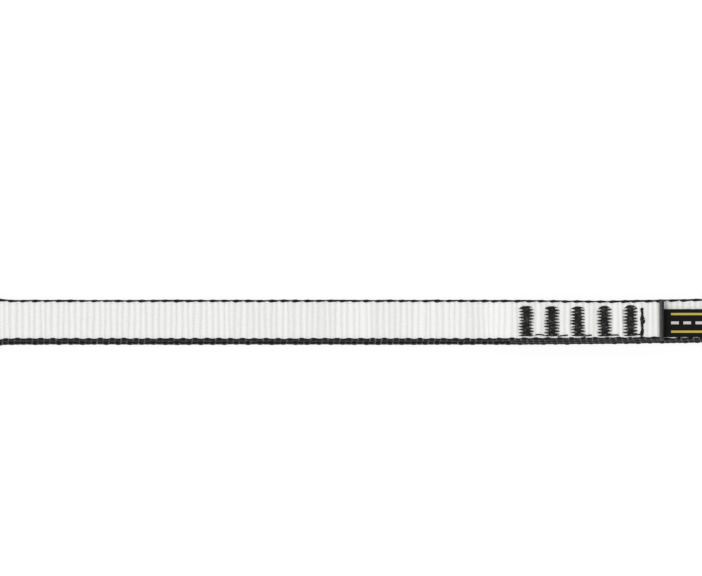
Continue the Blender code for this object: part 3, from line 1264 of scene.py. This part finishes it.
@dataclass
class FusedEnd:
    """A melted cut end of the tape, which stops at one end of the route."""

    route: TapeRoute
    end: End
    flat_places: int = 57
    round_places: int = 9
    rings: int = 14
    round_share: float = 0.30
    round_depth_share: float = 0.9
    cut_back: float = 0.00002
    flare: float = 0.00022
    lump: float = 0.00009
    lump_sizes: tuple = (0.0011, 0.00042)
    heart_share: float = 0.96
    yarn_pitch: float = 0.00038
    yarn_depth: float = 0.00005
    yarn_run_share: float = 0.8

    def _swell(self, points: np.ndarray, hearts: np.ndarray) -> None:
        """Moves points away from their hearts, in lumps.

        Args:
            points: The points, as rings by places by 3.
            hearts: What each point moves away from.
        """
        for place in np.ndindex(points.shape[:2]):
            point = Vector(points[place])
            coarse, fine = (noise.noise(point / size) for size in self.lump_sizes)
            way = Vector(points[place] - hearts[place])
            if way.length > MERGE_DISTANCE:
                swell = self.lump * (1 + coarse + fine / 2) / 2
                points[place] += np.array(way.normalized()) * swell

    def build(self, finish: MeltedEnd) -> bpy.types.Object:
        """Makes the end.

        Args:
            finish: Its fused skin.

        Returns:
            The piece.
        """
        sizes = self.route.sizes
        share = np.linspace(0, 1, self.rings)
        length = sizes.seal_length - self.cut_back
        reach = share * length
        outermost = self.end is End.OUTER
        along = sizes.seal_length - reach
        if not outermost:
            along = self.route.length - along
        rounding = self.round_share * sizes.thickness
        left = np.clip((reach - length + rounding) / rounding, 0, 1)
        inset = rounding * (1 - np.sqrt(1 - left**2))[:, None] * self.round_depth_share
        half, deep = sizes.width / 2, sizes.thickness / 2
        flat = np.linspace(-1, 1, self.flat_places) * (half - deep / 2)
        bend = np.linspace(math.pi / 2, -math.pi / 2, self.round_places + 2)[1:-1]
        side = half - deep / 2 * (1 - np.cos(bend))
        level = np.ones(self.flat_places)
        ring_across = np.concatenate([flat, side, flat[::-1], -side])
        ring_out = np.concatenate([level, np.sin(bend), -level, np.sin(bend[::-1])])
        near_flare = np.where(ring_across < 0, self.flare / half * outermost, 0)
        across = ring_across[None, :] * (1 - inset / half + near_flare)
        groove = 1 - np.abs(np.sin(math.pi * across / self.yarn_pitch))
        groove *= self.yarn_depth * (1 - smooth(share / self.yarn_run_share))[:, None]
        out = ring_out[None, :] * (deep - inset - groove)
        points = self.route.carry(along, across, out)
        hearts = self.route.carry(along, across * self.heart_share, np.zeros(out.shape))
        self._swell(points, hearts)
        steps = np.hypot(np.diff(ring_across), np.diff(ring_out * deep))
        around = np.cumsum(np.concatenate([[0.0], steps, [deep]]))
        piece = wrap_grid(f"fused_end_{self.end.value}", points, reach, around)
        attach(piece, SLING_BODY)
        return dress(piece, finish, [f"sealed_end_{self.end.value}"])


def frames_along(path: np.ndarray) -> tuple[np.ndarray, np.ndarray]:
    """Two directions square to a path, carried along it without twist.

    Args:
        path: The path's points.

    Returns:
        The directions at each point.
    """
    tangent = np.gradient(path, axis=0)
    tangent /= np.linalg.norm(tangent, axis=1)[:, None]
    normal = np.empty_like(path)
    turned = np.cross(tangent[0], ASKEW)
    for i in range(len(path)):
        if i:
            turned = normal[i - 1] - tangent[i] * (normal[i - 1] @ tangent[i])
        normal[i] = turned / np.linalg.norm(turned)
    return normal, np.cross(tangent, normal)


@dataclass
class TwistedThread:
    """A thread of plies, laid along a path and a little flattened."""

    diameter: float
    plies: int = 2
    lay: float = 0.0011
    around: int = 6
    flat_share: float = 0.80
    ply_share: float = 0.31

    def lay_along(
        self, name: str, path: np.ndarray, phase: float = 0.0, girth: np.ndarray | float = 1.0
    ) -> list[bpy.types.Object]:
        """Makes each ply as a tube.

        Args:
            name: The plies' name.
            path: The thread's middle line.
            phase: Where its twist starts, in radians.
            girth: Its width at each point, as a share of its diameter.

        Returns:
            The plies.
        """
        normal, other = frames_along(path)
        steps = np.linalg.norm(np.diff(path, axis=0), axis=1)
        along = np.concatenate([[0.0], np.cumsum(steps)])
        ply_radius = self.ply_share * self.diameter
        offset = self.diameter / 2 - ply_radius
        around = np.arange(self.around + 1) * math.tau / self.around
        ring = np.cos(around[:-1])[None, :, None] * normal[:, None]
        ring = ring + np.sin(around[:-1])[None, :, None] * other[:, None]
        made = []
        for ply in range(self.plies):
            turn = phase + ply * math.tau / self.plies + along * math.tau / self.lay
            shift = offset * (np.cos(turn)[:, None] * normal + np.sin(turn)[:, None] * other)
            spread = shift[:, None] + ply_radius * ring
            spread *= np.broadcast_to(girth, len(path))[:, None, None]
            spread[:, :, 2] *= self.flat_share
            made.append(wrap_grid(name, path[:, None] + spread, along, around * ply_radius))
        return made


@dataclass
class BarTack:
    """A dense zigzag of thread down through both layers of the lap."""

    route: TapeRoute
    number: int
    x: float
    reach: float
    bow: float
    teeth: int = 10
    thread: float = 0.00052
    tip_jitter: float = 0.00034
    tip_overshoot_share: float = 0.20
    row_jitter: float = 0.00008
    cap_share: float = 0.45
    cap_rise: float = 0.00004
    cap_width: float = 0.0033
    seat: float = 0.00008
    height_jitter: float = 0.00008
    hole_depth: float = 0.00034
    sink_run: float = 0.00022
    taper_run: float = 0.00108
    tip_girth: float = 0.18
    top_samples: int = 19
    under_samples: int = 9
    underlays: int = 5
    underlay_samples: int = 24
    underlay_spread: float = 0.00122
    underlay_sink: float = 0.00010
    underlay_wobble: float = 0.00006
    underlay_wobble_size: float = 0.0009
    underlay_bow: float = 0.00030
    seed: int = 100
    width: ClassVar[float] = 0.0042
    near_margin: ClassVar[float] = 0.00118
    far_margin: ClassVar[float] = 0.00215
    near_y: float = field(init=False)
    far_y: float = field(init=False)

    def __post_init__(self) -> None:
        """Finds the tack's two ends."""
        sizes = self.route.sizes
        middle_y = sizes.lap_near_y + sizes.width / 2
        low, high = self.span_across(sizes)
        self.near_y, self.far_y = middle_y + low, middle_y + high + self.reach

    @classmethod
    def span_across(cls, sizes: SlingSizes) -> tuple[float, float]:
        """A tack's near and far ends, measured from the tape's middle."""
        return cls.near_margin - sizes.width / 2, sizes.width / 2 - cls.far_margin

    def _bowed(self, offset: np.ndarray | float) -> np.ndarray | float:
        """How far the bowed last stitch lies past the tack's far end."""
        return self.cap_rise - self.bow * (2 * offset / self.cap_width) ** 2

    def _pulled(self, from_hole: np.ndarray) -> tuple[np.ndarray, np.ndarray]:
        """How deep the thread dives, and its width as a share, by its distance from a hole."""
        dive = self.hole_depth * (1 - smooth(from_hole / self.sink_run))
        return dive, self.tip_girth + (1 - self.tip_girth) * np.minimum(from_hole / self.taper_run, 1)

    def _cap(self) -> tuple[np.ndarray, np.ndarray]:
        """The last stitch, bowed over the tack's far end.

        Returns:
            The line, and the thread's width at each point as a share.
        """
        offset = np.linspace(-self.cap_width / 2, self.cap_width / 2, self.top_samples)
        dive, girth = self._pulled(self.cap_width / 2 - np.abs(offset))
        height = self.route.upper_face(self.x + offset) + self.seat + self.height_jitter - dive
        return np.stack([self.x + offset, self.far_y + self._bowed(offset), height], axis=1), girth

    def _holes(self, rng: np.random.Generator) -> list[tuple[float, float]]:
        """The zigzag's turning points.

        Args:
            rng: The tack's own random draws.

        Returns:
            Each as x and y.
        """
        half = self.width / 2
        pitch = (self.far_y - self.near_y) / (self.teeth - 1 / 2)
        holes = []
        for i in range(2 * self.teeth + 1):
            way = -1 if i % 2 else 1
            level = self.near_y + pitch * max(i - 1, 0) / 2
            narrowed = min(1, math.sqrt(max(self.far_y + self.cap_rise - level, 0) / self.bow))
            tip = half + self.tip_jitter * rng.uniform(-1, self.tip_overshoot_share)
            holes.append((self.x + way * narrowed * tip, level + self.row_jitter * rng.uniform(-1, 1)))
        last = self.cap_share * half
        return holes + [(self.x - last, self.far_y + self._bowed(last))]

    def _zigzag(self, rng: np.random.Generator, samples: int, top: bool) -> tuple[np.ndarray, np.ndarray]:
        """The thread's line on one face of the lap.

        Args:
            rng: The tack's own random draws.
            samples: How many points each stitch has.
            top: Whether it lies on the upper face.

        Returns:
            The line, and the thread's width at each point as a share.
        """
        sizes = self.route.sizes
        share = (1 - np.cos(np.linspace(0, math.pi, samples))) / 2
        holes = self._holes(rng)
        points, girths = [], []
        for i, (start, end) in enumerate(zip(holes, holes[1:])):
            kept = samples - 1 if i + 2 < len(holes) else samples
            x = start[0] + (end[0] - start[0]) * share
            y = start[1] + (end[1] - start[1]) * share
            dive, girth = self._pulled(np.minimum(share, 1 - share) * abs(end[0] - start[0]))
            lift = self.seat + self.height_jitter * rng.uniform(-1, 1) - dive
            if top:
                height = self.route.upper_face(x) + lift
            else:
                height = sizes.inner_plane - sizes.thickness / 2 - lift
            points.append(np.stack([x, y, height], axis=1)[:kept])
            girths.append(girth[:kept])
        return np.concatenate(points), np.concatenate(girths)

    def _underlay(self, rng: np.random.Generator) -> list[np.ndarray]:
        """Straight threads beneath the zigzag, which make its middle solid.

        Args:
            rng: The tack's own random draws.

        Returns:
            Each thread's line.
        """
        lines = []
        for share in np.linspace(-0.5, 0.5, self.underlays):
            end = self.far_y + self.underlay_bow * (0.5 - (2 * share) ** 2)
            y = np.linspace(self.near_y, end, self.underlay_samples)
            phase = rng.uniform(0, math.tau)
            wobble = self.underlay_wobble * np.sin(y / self.underlay_wobble_size + phase)
            x = self.x + share * self.underlay_spread + wobble
            lines.append(np.stack([x, y, self.route.upper_face(x) - self.underlay_sink], axis=1))
        return lines

    def build(self, finish: BlackThread) -> bpy.types.Object:
        """Makes the tack.

        Args:
            finish: The thread's finish.

        Returns:
            The piece.
        """
        rng = np.random.default_rng(self.seed + self.number)
        thread = TwistedThread(self.thread)
        name = f"tack_sewing_{self.number}"
        parts = []
        for samples, top in ((self.top_samples, True), (self.under_samples, False)):
            line, girth = self._zigzag(rng, samples, top)
            parts += thread.lay_along(name, line, girth=girth)
        for line in self._underlay(rng):
            parts += thread.lay_along(name, line, rng.uniform(0, math.tau))
        line, girth = self._cap()
        piece = join(name, parts + thread.lay_along(name, line, girth=girth))
        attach(piece, SLING_BODY)
        return dress(piece, finish, [f"bar_tack_{self.number}"])


class Carry(NamedTuple):
    """How one loose thread lies between its tack and the next stop."""

    inset: float
    bow: float
    slope: float
    start: float
    end: float


class Knot(NamedTuple):
    """A small loop of thread on the stitch row: its middle and its half sizes."""

    x: float
    y: float
    half_x: float
    half_y: float


@dataclass
class LooseThreads:
    """The thread carried from each tack to the next, and the label's stitch row."""

    route: TapeRoute
    carries: tuple = (
        Carry(inset=0.00126, bow=0.00018, slope=-0.00015, start=0.0002, end=0.00018),
        Carry(inset=0.00116, bow=0.0, slope=0.00030, start=-0.0005, end=-0.0005),
        Carry(inset=0.00115, bow=0.00006, slope=0.00028, start=-0.0006, end=-0.0012),
        Carry(inset=0.00124, bow=0.00008, slope=0.00012, start=-0.0010, end=-0.0009),
        Carry(inset=0.00128, bow=0.00004, slope=0.0, start=-0.0010, end=0.0),
    )
    carry_thread: float = 0.00042
    carry_samples: int = 26
    carry_seat: float = 0.00018
    carry_sink: float = 0.00036
    carry_end_share: float = 0.12
    carry_end_girth: float = 0.6
    plies: int = 3
    row_thread: float = 0.00050
    row_samples: int = 90
    row_shift: float = -0.00016
    row_near: float = -0.00515
    row_far: float = 0.00212
    row_passes: tuple = ((-0.00013, 0.0), (0.00013, 1.4))
    row_wander: float = 0.00011
    row_wander_sizes: tuple = (0.00060, 0.00031)
    row_seat: float = 0.00016
    row_dive: float = 0.00034
    dive_power: int = 8
    stitch: float = 0.00118
    knots: tuple = (
        Knot(x=0.00034, y=-0.00115, half_x=0.00024, half_y=0.00062),
        Knot(x=0.0, y=0.00200, half_x=0.00020, half_y=0.00010),
    )
    knot_turns: tuple = (0.1, 1.05)
    knot_samples: int = 30
    knot_seat: float = 0.00024
    knot_wave: float = 0.00010

    def _carried(self, carry: Carry, start: float, end: float) -> tuple[np.ndarray, np.ndarray]:
        """A loose thread along the near edge, out of one hole and into the next.

        Args:
            carry: How it lies.
            start: Where it starts along the sling.
            end: Where it ends.

        Returns:
            The line, and the thread's width at each point as a share.
        """
        share = np.linspace(0, 1, self.carry_samples)
        x = start + (end - start) * share
        bow = np.sin(math.pi * share) * carry.bow + (share - 0.5) * carry.slope
        y = self.route.sizes.lap_near_y + carry.inset + bow
        rise = smooth(np.minimum(share, 1 - share) / self.carry_end_share)
        height = self.route.upper_face(x) + self.carry_seat - self.carry_sink * (1 - rise)
        girth = self.carry_end_girth + (1 - self.carry_end_girth) * rise
        return np.stack([x, y, height], axis=1), girth

    def _row(self, shift: float, phase: float) -> np.ndarray:
        """One pass of the stitch row: it dives into a hole at each stitch.

        Args:
            shift: How far it lies to the side of the row's middle.
            phase: Where its wander and its stitches start, in radians.

        Returns:
            The line.
        """
        y = np.linspace(self.row_far, self.row_near, self.row_samples)
        long, short = self.row_wander_sizes
        wander = self.row_wander * (np.sin(y / long + phase) + 0.5 * np.sin(y / short + 2 * phase))
        x = self.route.sizes.row_x + self.row_shift + shift + wander
        dive = np.abs(np.cos(math.pi * (y - self.row_far) / self.stitch + phase)) ** self.dive_power
        height = self.route.upper_face(x) + self.row_seat - self.row_dive * dive
        return np.stack([x, y, height], axis=1)

    def _loop(self, knot: Knot) -> np.ndarray:
        """The thread's line round a knot.

        Args:
            knot: Its place and size.

        Returns:
            The line.
        """
        turn = np.linspace(*self.knot_turns, self.knot_samples) * math.tau
        x = self.route.sizes.row_x + self.row_shift + knot.x + knot.half_x * np.cos(turn)
        y = knot.y + knot.half_y * np.sin(turn)
        height = self.route.upper_face(x) + self.knot_seat + self.knot_wave * np.sin(turn * 2)
        return np.stack([x, y, height], axis=1)

    def build(self, finish: BlackThread) -> None:
        """Makes the threads and the row.

        Args:
            finish: The thread's finish.
        """
        sizes = self.route.sizes
        starts = np.array(sizes.tack_places) + BarTack.width / 2
        stops = [*(x - BarTack.width / 2 for x in sizes.tack_places[1:]), sizes.row_x]
        thread = TwistedThread(self.carry_thread, self.plies)
        for i, (carry, start, stop) in enumerate(zip(self.carries, starts, stops), 1):
            line, girth = self._carried(carry, start + carry.start, stop + carry.end)
            name = f"carried_thread_{i}"
            piece = join(name, thread.lay_along(name, line, girth=girth))
            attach(piece, SLING_BODY)
            dress(piece, finish, [f"carry_thread_{i}"])
        name = "label_row_sewing"
        thread = TwistedThread(self.row_thread, self.plies)
        lines = [self._row(*row_pass) for row_pass in self.row_passes]
        lines += [self._loop(knot) for knot in self.knots]
        piece = join(name, [ply for line in lines for ply in thread.lay_along(name, line)])
        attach(piece, SLING_BODY)
        dress(piece, finish, ["label_stitch_row"])


@dataclass
class WovenLabel:
    """The folded label: one strip of cloth whose two ends are held in the lap."""

    route: TapeRoute
    across_places: int = 15
    step: float = 0.0006
    hinge_step: float = 0.00012
    fold_places: int = 9
    rim_share: float = 0.35
    edge_swell: float = 0.00003
    wave_height: float = 0.00006
    wave_start: float = 0.004
    wave_sizes: tuple = (0.0045, 0.0023)
    wave_phase: float = 0.6
    bend_run: float = 0.0013
    near_reach: float = 0.00010

    def _outline(self) -> tuple[np.ndarray, np.ndarray, int]:
        """The cloth's line from its upper hidden end round the fold to its lower one.

        Returns:
            Its places from the hinge, its heights there, and how many are on the upper ply.
        """
        sizes = self.route.sizes
        radius = (sizes.label_ply + sizes.ply_gap) / 2
        start = sizes.tail_start_x - sizes.hinge_x
        fold = sizes.label_length - radius - sizes.label_ply / 2
        near = np.arange(start, self.bend_run, self.hinge_step)
        far = np.linspace(self.bend_run, fold, math.ceil((fold - self.bend_run) / self.step))
        upper = np.concatenate([near, far])
        turn = np.linspace(math.pi / 2, -math.pi / 2, self.fold_places)[1:-1]
        x = np.concatenate([upper, fold + radius * np.cos(turn), upper[::-1]])
        level = np.full(len(upper), radius)
        return x, np.concatenate([level, radius * np.sin(turn), -level]), len(upper)

    def build(self) -> bpy.types.Object:
        """Makes the label, with finer steps where it comes out of the lap.

        Returns:
            The piece.
        """
        sizes = self.route.sizes
        x, lift, upper_places = self._outline()
        run = np.gradient(np.stack([x, lift], axis=1), axis=0)
        run /= np.linalg.norm(run, axis=1)[:, None]
        half, ply = sizes.label_width / 2, sizes.label_ply / 2
        top = np.linspace(-half, half, self.across_places)
        ring = np.concatenate([top, top[::-1]])
        facing = np.repeat([1.0, -1.0], self.across_places)
        from_rim = np.arange(self.across_places)
        from_rim = np.tile(np.minimum(from_rim, from_rim[::-1]), 2)
        out = np.where(from_rim == 0, ply * self.rim_share, ply)
        out = facing * (out + np.where(from_rim == 1, self.edge_swell, 0))
        along_size, across_size = self.wave_sizes
        wave = np.sin(x / along_size)[:, None] * np.sin(ring / across_size + self.wave_phase)
        wave *= self.wave_height * smooth(x / self.wave_start)[:, None]
        near_y = sizes.lap_near_y + sizes.label_near_margin - self.near_reach
        near_y += float(self.route.inner_sway(np.array(sizes.hinge_x))) - sizes.lap_shift
        points = np.stack(
            np.broadcast_arrays(
                sizes.hinge_x + x[:, None] - run[:, 1:2] * out,
                ring + near_y + half,
                sizes.label_plane + lift[:, None] + run[:, 0:1] * out + wave,
            ),
            axis=2,
        )
        upper = np.arange(len(x)) < upper_places
        values = {"face": np.outer(upper, facing > 0)}
        piece = wrap_grid("woven_label_cloth", points, x, np.append(ring, ring[0]), values)
        start = (sizes.outer_end_x, 0, sizes.label_plane)
        end = (sizes.outer_end_x + self.bend_run, 0, sizes.label_plane)
        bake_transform(piece)
        return dress(piece, LabelCloth(), ["label_tail", "label_flap"])


@dataclass
class Studio:
    """Floor, soft light and the photograph's camera."""

    image_width: int = 702
    scale_px_per_m: float = 3800
    elevation: float = 79
    lens: float = 500
    sensor: float = 36
    clip_ratio: float = 100
    aim: tuple = (-0.03908, 0.00832, 0.0047)
    ambient: float = 0.685
    key_strength: float = 1.15
    key_spread: float = 25
    key_direction: tuple = (-0.42, -0.10, 0.90)
    floor_size: float = 6.0
    floor_colour: tuple = (0.80, 0.80, 0.80, 1)
    floor_glow: float = 0.83
    floor_shadow: tuple = (0.20, 0.20, 0.20, 1)
    white: tuple = (1, 1, 1, 1)

    def _camera(self) -> None:
        """A long lens at the photograph's viewing angle."""
        distance = self.image_width / self.scale_px_per_m * self.lens / self.sensor
        tilt = math.radians(self.elevation)
        back = Vector((0, -math.cos(tilt), math.sin(tilt)))
        bpy.ops.object.camera_add(location=Vector(self.aim) + back * distance)
        camera = bpy.context.object
        camera.rotation_mode = "QUATERNION"
        camera.rotation_quaternion = (-back).to_track_quat("-Z", "Y")
        camera.data.lens = self.lens
        camera.data.sensor_width = self.sensor
        camera.data.clip_start = distance / self.clip_ratio
        camera.data.clip_end = distance * self.clip_ratio
        bpy.context.scene.camera = camera

    def _floor(self) -> None:
        """A pale floor that looks near white and keeps the sling's shadow."""
        bpy.ops.mesh.primitive_plane_add(size=self.floor_size)
        floor = bpy.context.object
        floor.name = "floor"
        material = bpy.data.materials.new("pale_floor")
        material.use_nodes = True
        made = Nodes(material.node_tree)
        made.tree.nodes.remove(made.tree.nodes["Principled BSDF"])
        plain = made.add("BsdfDiffuse", 0, {"Color": self.floor_colour})
        glow = made.add("Emission", 0, {"Strength": self.floor_glow})
        shadow = made.add("BsdfDiffuse", 0, {"Color": self.floor_shadow})
        seen = made.add("AddShader", 0, {0: glow, 1: shadow})
        direct = made.add("LightPath", "Is Camera Ray")
        mixed = made.add("MixShader", 0, {0: direct, 1: plain, 2: seen})
        made.feed(made.tree.nodes["Material Output"].inputs["Surface"], mixed)
        floor.data.materials.append(material)

    def _key(self) -> None:
        """A soft light from the left, which shades the ribs."""
        deselect()
        bpy.ops.object.light_add(type="SUN")
        key = bpy.context.object
        key.data.energy = self.key_strength
        key.data.angle = math.radians(self.key_spread)
        key.rotation_mode = "QUATERNION"
        key.rotation_quaternion = Vector(self.key_direction).to_track_quat("Z", "Y")

    def _surroundings(self) -> None:
        """Even light from all round, which looks white itself and in reflections."""
        world = bpy.data.worlds.new("studio")
        bpy.context.scene.world = world
        world.use_nodes = True
        made = Nodes(world.node_tree)
        made.tree.nodes.clear()
        direct = made.add("LightPath", "Is Camera Ray")
        for ray in ("Is Glossy Ray", "Is Transmission Ray"):
            direct = made.math("MAXIMUM", direct, made.add("LightPath", ray))
        soft = made.add("Background", 0, {"Color": self.white, "Strength": self.ambient})
        bright = made.add("Background", 0, {"Color": self.white})
        mixed = made.add("MixShader", 0, {0: direct, 1: soft, 2: bright})
        out = made.tree.nodes.new("ShaderNodeOutputWorld")
        made.feed(out.inputs["Surface"], mixed)

    def build(self) -> None:
        """Sets the stage up."""
        self._camera()
        self._floor()
        self._key()
        self._surroundings()
        bpy.context.scene.view_settings.view_transform = "Standard"


def main() -> None:
    """Builds the sling's sub-assemblies in order."""
    logging.basicConfig(level=logging.INFO, format="%(name)s: %(message)s")
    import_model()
    sizes = SlingSizes()
    route = TapeRoute(sizes)
    weave = Weave(route)
    Studio().build()
    tape = WovenTape(route, weave).build()
    edges = [Selvage(route, weave, side).build() for side in Side]
    melted = MeltedEnd(length=sizes.seal_length / MM)
    for end in End:
        FusedEnd(route, end).build(melted)
    sewing = BlackThread()
    for i, place in enumerate(zip(sizes.tack_places, sizes.tack_reaches, sizes.tack_bows), 1):
        BarTack(route, i, *place).build(sewing)
    LooseThreads(route).build(sewing)
    WovenLabel(route).build()
    LOG.info("the tape is %.4f m long", route.length)


if __name__ == "__main__":
    main()
